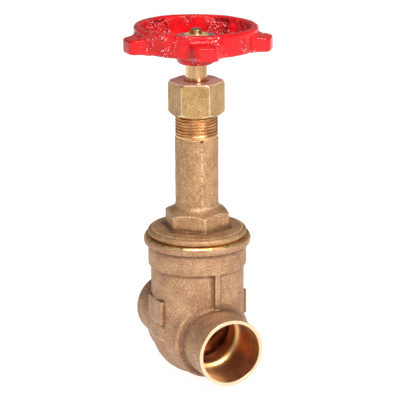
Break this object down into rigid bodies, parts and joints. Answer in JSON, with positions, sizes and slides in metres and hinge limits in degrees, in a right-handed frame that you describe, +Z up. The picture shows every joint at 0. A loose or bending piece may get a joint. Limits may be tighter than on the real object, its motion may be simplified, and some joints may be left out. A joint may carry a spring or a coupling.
{
  "type": "gate valve",
  "caption": "Bronze gate valve with two cup ends for soldered tube, a screwed bonnet, a rising stem and a red lobed handwheel; shut.",
  "frame": {"origin": "where the pipe's centreline crosses the stem's axis, in the middle of the waterway", "axes": "+X along the pipe towards the outlet, +Z up the stem towards the handwheel, +Y by the right-hand rule"},
  "size_m": [0.0764, 0.0678, 0.1701],
  "materials": {
    "cast_bronze_body": "sand-cast, machined bores",
    "cast_bronze_bonnet": "sand-cast, machined thread and flange edge",
    "machined_bronze": "machined",
    "stem_brass": "polished",
    "nut_brass": "forged, lightly tarnished",
    "packing": "graphited braid",
    "red_paint": "thick gloss over rough iron",
    "plate_aluminium": "thin sheet"
  },
  "bodies": {
    "valve_body": {"body": "cast_bronze_body", "bonnet": "cast_bronze_bonnet", "packing_ring_1": "packing", "packing_ring_2": "packing", "packing_ring_3": "packing", "packing_ring_4": "packing"},
    "gate": {"wedge": "machined_bronze"},
    "wheel_and_stem": {"stem": "stem_brass", "handwheel": "red_paint", "identification_plate": "plate_aluminium", "wheel_nut": "nut_brass"},
    "follower": {"gland_follower": "stem_brass"},
    "gland_nut": {"packing_nut": "nut_brass"}
  },
  "joints": [
    {"name": "gate_lift", "type": "slide", "parent": "valve_body", "child": "gate", "axis": [0, 0, 1], "range_m": [0, 0.02857]},
    {"name": "handwheel_turn", "type": "hinge", "parent": "gate", "child": "wheel_and_stem", "pos_m": [0, 0, 0.1], "axis": [0, 0, 1], "range_deg": [0, 3240]},
    {"name": "follower_press", "type": "slide", "parent": "valve_body", "child": "follower", "axis": [0, 0, -1], "range_m": [0, 0.00282], "deforming": ["packing_ring_1", "packing_ring_2", "packing_ring_3", "packing_ring_4"]},
    {"name": "packing_nut_turn", "type": "hinge", "parent": "follower", "child": "gland_nut", "pos_m": [0, 0, 0.113], "axis": [0, 0, -1], "range_deg": [0, 720]}
  ],
  "couplings": [
    {"joint": "handwheel_turn", "follows": "gate_lift", "rad_per_m": 1979},
    {"joint": "packing_nut_turn", "follows": "follower_press", "rad_per_m": 4456.2}
  ]
}
